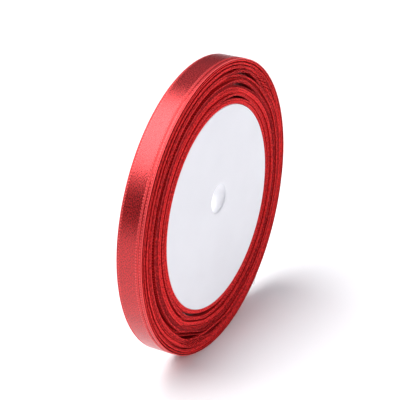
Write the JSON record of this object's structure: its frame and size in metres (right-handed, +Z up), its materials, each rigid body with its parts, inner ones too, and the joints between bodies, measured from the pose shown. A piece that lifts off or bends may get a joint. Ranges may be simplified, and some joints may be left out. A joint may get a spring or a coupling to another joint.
{
  "type": "ribbon spool",
  "caption": "Narrow satin ribbon wound on a flat white foam board core with a punched bore, its free end held by clear tape.",
  "frame": {"origin": "centre of the bore, half-way through the core", "axes": "+Y along the spool's axis, from its front face towards its back; the spool stands on its edge with +Z up"},
  "size_m": [0.0817, 0.0074, 0.0815],
  "materials": {
    "core_facing": "smooth matte white film",
    "core_foam": "fine white foam, cut edge",
    "ribbon": "satin weave, glossy outside",
    "clear_tape": "clear film, slightly hazy"
  },
  "bodies": {
    "roll": {"core_front_facing": "core_facing", "core_foam": "core_foam", "core_rear_facing": "core_facing", "start_tape": "clear_tape", "ribbon_winding": "ribbon"},
    "free_end": {"ribbon_free_end": "ribbon", "end_tape": "clear_tape"}
  },
  "joints": [
    {"name": "free_end_lift", "type": "hinge", "parent": "roll", "child": "free_end", "pos_m": [0.04077, 0.00103, -0.00863], "axis": [0, -1, 0], "range_deg": [0, 90]}
  ]
}
